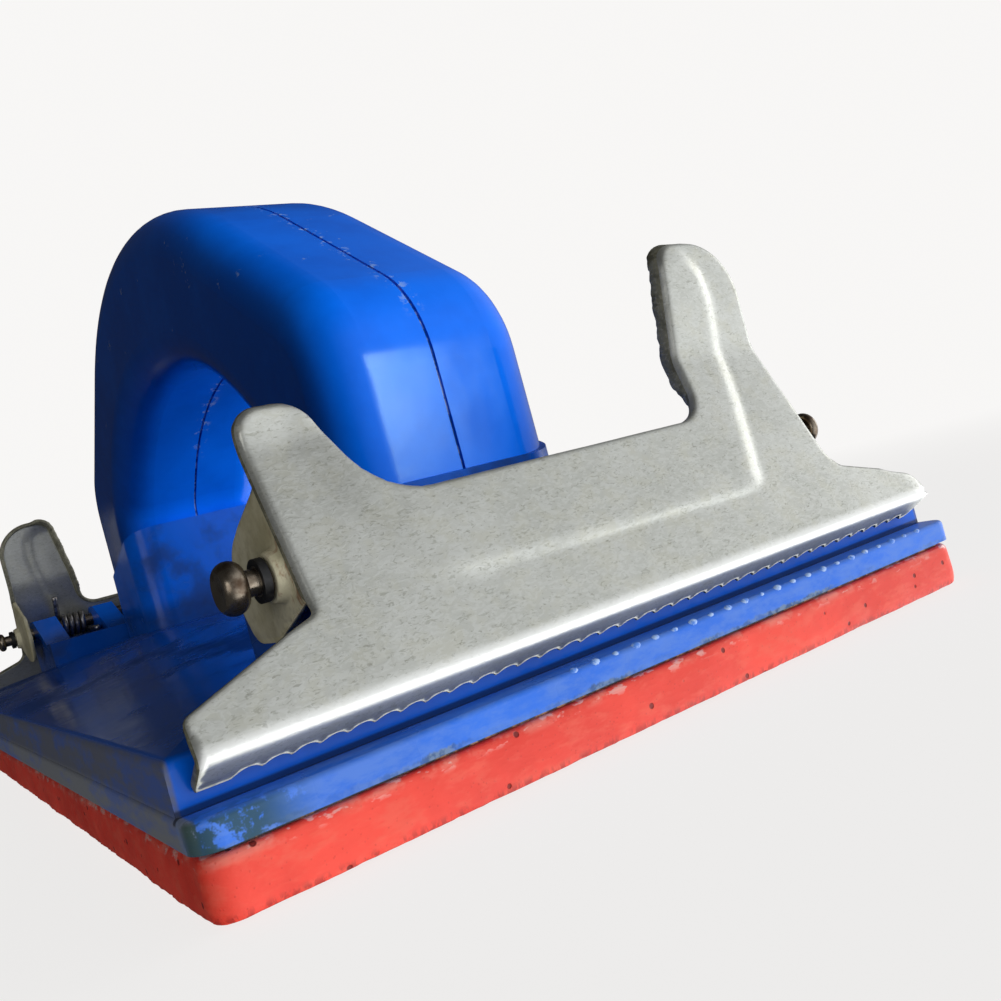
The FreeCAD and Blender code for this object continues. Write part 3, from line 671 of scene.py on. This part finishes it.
def raised(x, z):
    """How much of the way from the flat border to the top of the embossed panel a point is."""
    from_right = PANEL_RIGHT_SLOPE * (np.interp(z, crease_z, crease_x) - x)
    from_bottom = z - PANEL_FOOT_Z + 0.02 * (x - 23)
    short = np.hypot(np.maximum(PANEL_CORNER - from_right, 0), np.maximum(PANEL_CORNER - from_bottom, 0))
    within = PANEL_CORNER - short
    left = step(x - np.interp(z, left_crease[:, 1], left_crease[:, 0]), 5.5)
    return step(within - PANEL_STEP / 2, PANEL_STEP) * left * step(51.5 - z, 3.0)


def clip_plate():
    """The flat stamping's points and triangles, finer at its curled edges, creases and fold."""
    edge = rounded([tuple(p) + (0,) for p in clip_outline()], 0.5)
    gap = np.roll(edge, -1, 0) - np.roll(edge, 1, 0)
    inward = np.stack([-gap[:, 1], gap[:, 0]], 1)
    inward /= np.maximum(np.linalg.norm(inward, axis=1), 1e-9)[:, None]
    area = (edge[:, 0] * np.roll(edge[:, 1], -1) - np.roll(edge[:, 0], -1) * edge[:, 1]).sum()
    inward *= math.copysign(1, area)
    above = edge[:, 1] > 7
    extra = []
    for reach in (0.1, 0.24, 0.42, 0.65, 0.95):
        ring = (edge + inward * reach)[above]
        extra.append(ring[distance_to(ring, edge) > reach * 0.93])
    upright = np.arange(20.5, 50.0, 0.6)
    for offset in (-0.8, -0.35, 0.35, 0.8):
        extra.append(np.stack([np.interp(upright, crease_z, crease_x) + offset, along_of(upright)], 1))
    flat = np.arange(-17.0, 23.0, 0.6)
    for offset in (-0.6, -0.2, 0.2, 0.6):
        extra.append(np.stack([flat, np.full(len(flat), along_of(19.7) + offset)], 1))
    fold = np.arange(-49.6, 49.8, 0.9)
    for offset in (-1.0, -0.6, -0.2, 0.2, 0.6, 1.0):
        extra.append(np.stack([fold, np.full(len(fold), along_of(FOLD_Z) + offset)], 1))
    taken = set()
    kept = []
    for q in np.concatenate(extra):
        key = (round(q[0] / 0.16), round(q[1] / 0.16))
        if key not in taken:
            taken.add(key)
            kept.append(q)
    points, faces = fill([edge], 0.9, np.array(kept))
    return points, faces, edge


plate_points, plate_faces, plate_edge = clip_plate()
plate_reach = distance_to(plate_points, plate_edge)


def plate_place(points):
    """Where points of the flat stamping are on the bent one."""
    x, s = points[:, 0], points[:, 1]
    depth = np.interp(s, section_along, section[:, 0])
    z = np.interp(s, section_along, section[:, 1])
    way_depth = np.interp(s, section_along, section_way[:, 0])
    way_z = np.interp(s, section_along, section_way[:, 1])
    size = np.hypot(way_depth, way_z)
    facing = np.stack([np.zeros(len(x)), -way_z / size, way_depth / size], 1)
    place = np.stack([x, FRONT + depth, z], 1)
    drooped = 0.35 * np.clip((x - 46.5) / 4, 0, 1) ** 2    # the right end bends back a little
    proud = PANEL_HEIGHT * raised(x, z) - drooped
    curl_here = 0.10 + 0.90 * step(z - 21.5, 2.5)
    curl_here = np.maximum(curl_here, 0.8 * step(x - 45.0, 4.0))
    curl_here = curl_here * step(s - 4.4, 1.0)
    within = np.clip(CURL_RADIUS - plate_reach, 0, CURL_RADIUS)
    curl = CURL_RADIUS - np.sqrt(np.maximum(CURL_RADIUS ** 2 - within ** 2, 0))
    spot = np.stack([x, z, z * 0], 1)
    sway = 0.10 * ripple(spot, 0.05, 1) + 0.02 * ripple(spot, 0.35, 2)
    return place + facing * (proud - curl * curl_here + sway * step(s - 6, 3))[:, None]


def plate_rim(flat, placed):
    """How far the hem is drawn back past the edge: deep on the tall ear's inner side, slight elsewhere."""
    x, z = flat[:, 0], placed[:, 2]
    inner = HEM_DEPTH * step(z - 33.5, 6.0) * step(x, 20.0) * step(27.5 - x, 3.0)
    outer = 0.30 * step(z - 35.5, 3.0)
    cheek = 0.35 * step(z - 22.8, 1.0) * step(np.abs(x) - 35.0, 1.0)
    coarse = ripple(np.stack([x * 0, z, z * 0], 1), 0.5, 5)
    ragged = 0.20 * coarse + 0.14 * ripple(np.stack([x, z, z * 0], 1), 1.3, 6)
    return np.maximum(np.maximum(inner, outer) + ragged * (inner > 0.3), cheek)


plate_verts, plate_shapes = sheet_metal(plate_points, plate_faces, plate_place, SHEET, plate_rim)

cheek_outline = rounded([(4.9, 22.7, 0.3), (10.0, 34.6, 0.4), (21.8, 29.4, 5.0), (24.6, 24.5, 3.5),
                         (21.5, 18.9, 3.0), (15.5, 18.9, 4.0)], 0.5)
bore_angles = np.linspace(0, 2 * math.pi, 33)[:-1]
pin_depth = PIN_Y - FRONT


def ring(radius):
    """Points round the pin's bore, as depth and height."""
    return np.stack([pin_depth + radius * np.cos(bore_angles), PIN_Z + radius * np.sin(bore_angles)], 1)


cheek_extra = np.concatenate([ring(r) for r in (1.75, 2.05, 2.32, 2.42, 2.52, 2.62, 2.72, 2.85, 3.1)])
cheek_points, cheek_faces = fill([cheek_outline, ring(1.56)], 0.75, cheek_extra)
cheek_reach = distance_to(cheek_points, cheek_outline)


def cheek_place(points):
    """Where points of the flat cheek are, with its dished face and raised collar."""
    depth, z = points[:, 0], points[:, 1]
    radius = np.hypot(depth - pin_depth, z - PIN_Z)
    collar = 1.1 * (1 - step(radius - 2.6, 0.45))
    dish = 0.16 * ripple(np.stack([depth, z, z * 0], 1), 0.12, 3) - 0.22 * np.exp(-cheek_reach / 0.35)
    out = CHEEK_X + np.where(depth < 11.0, np.minimum(dish, 0.0), dish) + collar
    return np.stack([out, FRONT + depth, z], 1)


def no_hem(flat, placed):
    """A plain sheared edge."""
    return np.zeros(len(flat))


cheek_verts, cheek_shapes = sheet_metal(cheek_points, cheek_faces, cheek_place, SHEET, no_hem)


def flipped(verts, shapes):
    """The mirror image in X."""
    return verts * (-1, 1, 1), [tuple(reversed(f)) for f in shapes]


def clip_pieces(end, put):
    """One clip: its plate and its two cheeks."""
    body = end + "_clip"
    plate = mesh_piece(end + "_clip_plate", put(plate_verts), plate_shapes, ZINC, body, "zinc_sheet",
                       edge=ZINC_EDGE, edge_from=2 * len(plate_faces))
    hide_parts(body)
    cheeks = {"right": (cheek_verts, cheek_shapes), "left": flipped(cheek_verts, cheek_shapes)}
    for side, (verts, shapes) in cheeks.items():
        mesh_piece(f"{end}_clip_cheek_{side}", put(verts), shapes, CHEEK, body, "zinc_sheet")


for end, put in (("front", np.asarray), ("rear", turned)):
    clip_pieces(end, put)


# ---------------------------------------------------------------- springs

def spring_path():
    """Centre line of a front right spring: fixed leg on the base, four turns, leg up the clip."""
    coil, pitch, start_x = 2.45, 1.4, 20.6
    lean = math.atan(PLATE_SLOPE)
    sweep = 8 * math.pi + math.pi / 2 + lean
    path = [(start_x, PIN_Y + 13 - k * 1.3, PIN_Z - coil) for k in range(10)]
    turns = 150
    for k in range(turns + 1):
        a = sweep * k / turns
        x = start_x + pitch * a / (2 * math.pi)
        path.append((x, PIN_Y - coil * math.sin(a), PIN_Z - coil * math.cos(a)))
    last = np.array(path[-1])
    way = np.array((0, math.sin(lean), math.cos(lean)))
    path += [tuple(last + way * k * 0.75) for k in range(1, 11)]
    return np.array(path)


WIRE_RADIUS = 0.65
right_spring = tube(spring_path(), WIRE_RADIUS)
springs = {"right": right_spring, "left": flipped(*right_spring)}
for end, put in (("front", np.asarray), ("rear", turned)):
    for side, (verts, shapes) in springs.items():
        placed = put(verts)
        piece = mesh_piece(f"{end}_spring_wire_{side}", placed, shapes, SPRING_STEEL, None, "spring_steel")
        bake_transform(piece)
        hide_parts(f"{end}_spring_{side}")


# ---------------------------------------------------------------- foam sole

def foam_sole():
    """The worn sole: bulging edges, a ragged lower arris, and shallow pits."""
    radius = 2.6
    half_x, half_y = HALF_X - 0.05, -FRONT - 0.05
    outline = rounded([(half_x, -half_y, radius), (half_x, half_y, radius), (-half_x, half_y, radius),
                       (-half_x, -half_y, radius)], 0.7)
    around = np.roll(outline, -1, 0) - np.roll(outline, 1, 0)
    outward = np.stack([around[:, 1], -around[:, 0]], 1)
    outward /= np.linalg.norm(outward, axis=1)[:, None]
    heights = [(0.0, 0.75), (0.12, 0.38), (0.35, 0.14), (0.8, 0.04), (1.5, 0.0), (2.3, 0.0), (3.1, 0.0),
               (3.9, 0.02), (4.6, 0.06), (5.1, 0.16), (5.4, 0.34), (5.55, 0.62)]
    verts, count = [], len(outline)
    for z, inset in heights:
        flat = np.column_stack([outline, np.full(count, z)])
        wear = 0.14 * (ripple(flat, 0.11, 4) + 0.35 * ripple(flat, 0.6, 6)) - 0.14
        if z < 1.0:
            wear = wear - 0.22 * np.abs(ripple(flat, 0.9, 8, 2))
        shift = outward * (np.minimum(wear, 0.0) - inset)[:, None]
        verts.append(np.column_stack([outline + shift, np.full(count, z)]))
    verts = np.concatenate(verts)
    faces = []
    for row in range(len(heights) - 1):
        for k in range(count):
            a, b = row * count + k, row * count + (k + 1) % count
            faces.append((a, b, b + count, a + count))
    for row, way in ((0, -1), (len(heights) - 1, 1)):
        loop = verts[row * count:(row + 1) * count]
        points, caps = fill([loop[:, :2]], 4.0)
        start = len(verts)
        z = np.full(len(points), loop[0, 2])
        if way < 0:
            z += 0.10 * (ripple(np.column_stack([points, points[:, :1] * 0]), 0.08, 9) + 1)
        on_edge = distance_to(points, loop[:, :2]) < 1e-3
        z = np.where(on_edge, loop[0, 2], z)
        verts = np.concatenate([verts, np.column_stack([points, z])])
        nearest = {}
        for i in np.nonzero(on_edge)[0]:
            nearest[start + i] = row * count + int(np.argmin(((loop[:, :2] - points[i]) ** 2).sum(1)))
        for f in caps:
            ids = tuple(nearest.get(start + i, start + i) for i in (f if way > 0 else f[::-1]))
            faces.append(ids)
    used = sorted({i for f in faces for i in f})
    renumber = {old: new for new, old in enumerate(used)}
    return verts[used], [tuple(renumber[i] for i in f) for f in faces]


sole_verts, sole_shapes = foam_sole()
sole = mesh_piece("foam_sole", sole_verts, sole_shapes, FOAM, "block", "red_foam")
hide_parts("foam_pad")


# ---------------------------------------------------------------- nubs on the lip

LIP_TOP_Z = 8.52
NUB_COUNT = 22
NUB_PITCH = 2.8
FIRST_NUB_X = -13.6


def lip_nubs():
    """A row of small half-round nubs along the lip's top outer edge, each a little uneven."""
    verts, faces = [], []
    rows, sides = 5, 10
    for number in range(NUB_COUNT):
        x = FIRST_NUB_X + NUB_PITCH * number
        size = 0.55 + 0.09 * math.sin(number * 2.4)
        for i in range(rows + 1):
            tilt = math.pi * i / rows
            for k in range(sides):
                a = 2 * math.pi * k / sides
                around = size * math.sin(tilt)
                verts.append((x + 1.05 * size * math.cos(tilt), FRONT + 0.30 + 0.62 * around * math.cos(a),
                              LIP_TOP_Z + 0.66 * around * math.sin(a)))
        start = number * (rows + 1) * sides
        for i in range(rows):
            for k in range(sides):
                a, b = start + i * sides + k, start + i * sides + (k + 1) % sides
                faces.append((a, b, b + sides, a + sides))
    return np.array(verts), faces


nub_verts, nub_shapes = lip_nubs()
for end, put in (("front", np.asarray), ("rear", turned)):
    mesh_piece(end + "_lip_nubs", put(nub_verts), nub_shapes, NUB_BLUE, "block", "blue_plastic")


# ---------------------------------------------------------------- stage, lights and camera

def pale_stage(name, near, far, strength):
    """A pale, mostly self-lit surface: `near` and `far` are how self-lit it is by distance from the block."""
    p = Paint(name)
    away = p.node("ShaderNodeVectorMath", {"operation": "LENGTH"}, i0=p.mm).outputs["Value"]
    p.finish(Base_Color=(0.90, 0.89, 0.88), Roughness=0.9, Specular_IOR_Level=0.1)
    light = p.node("ShaderNodeEmission", Color=(0.965, 0.955, 0.945, 1.0), Strength=strength)
    both = p.node("ShaderNodeMixShader", i0=p.ramp(away, 120.0, 700.0, near, far), i1=p.shader.outputs[0],
                  i2=light.outputs[0])
    p.tree.links.new(both.outputs[0], p.out.inputs[0])
    return p.material


def dome(reach, rings=24, sides=64):
    """A wide bowl over the floor, so that the background has no edge."""
    verts = []
    for i in range(rings + 1):
        a = math.pi * (i / rings - 0.5)
        verts += [(reach * math.cos(a) * math.cos(b), reach * math.cos(a) * math.sin(b), reach * math.sin(a))
                  for b in np.linspace(0, 2 * math.pi, sides, endpoint=False)]
    faces = []
    for i in range(rings):
        for k in range(sides):
            a, b = i * sides + k, i * sides + (k + 1) % sides
            faces.append((a, a + sides, b + sides, b))
    return verts, faces


far_edge = 9000.0
corners = [(-far_edge, -far_edge, -0.3), (far_edge, -far_edge, -0.3), (far_edge, far_edge, -0.3),
           (-far_edge, far_edge, -0.3)]
floor = mesh_piece("studio_floor", corners, [(0, 1, 2, 3)], pale_stage("studio_floor", 0.86, 1.0, 0.97))
sky = mesh_piece("studio_dome", *dome(9500.0), pale_stage("studio_dome", 1.0, 1.0, 0.97))
for surface in (floor, sky):
    surface.visible_diffuse = False
    surface.visible_glossy = False
    surface.visible_transmission = False
    surface.visible_shadow = False

world = bpy.data.worlds.new("studio")
bpy.context.scene.world = world
world.use_nodes = True
world_links = world.node_tree.links
background = world.node_tree.nodes["Background"]
background.inputs["Color"].default_value = (0.95, 0.97, 1.0, 1.0)


def world_node(kind, **settings):
    made = world.node_tree.nodes.new(kind)
    for key, value in settings.items():
        setattr(made, key, value)
    return made


def world_range(value, low, high, a, b, **settings):
    """Maps a world value from low..high to a..b, held at the ends."""
    made = world_node("ShaderNodeMapRange", **settings)
    world_links.new(value, made.inputs[0])
    for index, number in enumerate((low, high, a, b), 1):
        made.inputs[index].default_value = number
    return made.outputs[0]


def world_product(a, b):
    made = world_node("ShaderNodeMath", operation="MULTIPLY")
    world_links.new(a, made.inputs[0])
    world_links.new(b, made.inputs[1])
    return made.outputs[0]


# the light comes from the front right; it is stronger from below the horizon and weak overhead
direction = world_node("ShaderNodeTexCoord").outputs["Generated"]
toward = world_node("ShaderNodeVectorMath", operation="DOT_PRODUCT")
toward.inputs[1].default_value = Vector((0.74, -0.67, 0.0)).normalized()
world_links.new(direction, toward.inputs[0])
apart = world_node("ShaderNodeSeparateXYZ")
world_links.new(direction, apart.inputs[0])
height = apart.outputs["Z"]
level = world_range(toward.outputs["Value"], -0.20, 1.0, 0.03, 1.15, interpolation_type="SMOOTHSTEP")
overhead = world_range(height, 0.65, 0.95, 1.0, 0.1)
below = world_range(height, 0.05, -0.35, 1.0, 2.2)
world_links.new(world_product(world_product(level, overhead), below), background.inputs["Strength"])


def area_light(name, place, target, width, height, power, lit, colour=(1.0, 1.0, 1.0)):
    """A rectangular lamp that lights only the pieces in `lit`."""
    data = bpy.data.lights.new(name, "AREA")
    data.color = colour
    data.shape = "RECTANGLE"
    data.size, data.size_y = width, height
    data.energy = power
    lamp = bpy.data.objects.new(name, data)
    bpy.context.scene.collection.objects.link(lamp)
    lamp.location = place
    lamp.rotation_euler = (Vector(target) - Vector(place)).to_track_quat("-Z", "Y").to_euler()
    group = bpy.data.collections.new(name + "_lit")
    for thing in lit:
        group.objects.link(thing)
    lamp.light_linking.receiver_collection = group


handle = [frame["nodes"][name] for name in ("handle_shell_left", "handle_shell_right")]
others = [thing for thing in bpy.context.scene.objects if thing.type == "MESH" and thing not in handle]
area_light("window", (0.40, -0.98, 0.255), (0, -0.07, 0.05), 0.26, 0.31, 6.0, handle, (0.60, 0.95, 1.0))
area_light("side", (1.08, -0.25, 0.25), (0, -0.05, 0.04), 0.50, 0.50, 2.0, others)
area_light("left_fill", (-0.80, -0.55, 0.15), (0, -0.05, 0.02), 0.50, 0.50, 1.6, others)

camera_data = bpy.data.cameras.new("camera")
camera = bpy.data.objects.new("camera", camera_data)
bpy.context.scene.collection.objects.link(camera)
place = (-0.0696, -0.1848, 0.0264)
forward = Vector((0.5516, 0.8341, 0.0026))
up = Vector((0.2171, -0.1467, 0.9651))
right = forward.cross(up).normalized()
up = right.cross(forward).normalized()
forward.normalize()
turn = Matrix((right, up, -forward)).transposed().to_4x4()
camera.matrix_world = Matrix.Translation(place) @ turn
camera_data.sensor_width = 36.0
camera_data.lens = 35.63
camera_data.clip_start = 0.01
camera_data.clip_end = 50.0
bpy.context.scene.camera = camera
bpy.context.scene.view_settings.view_transform = "Standard"
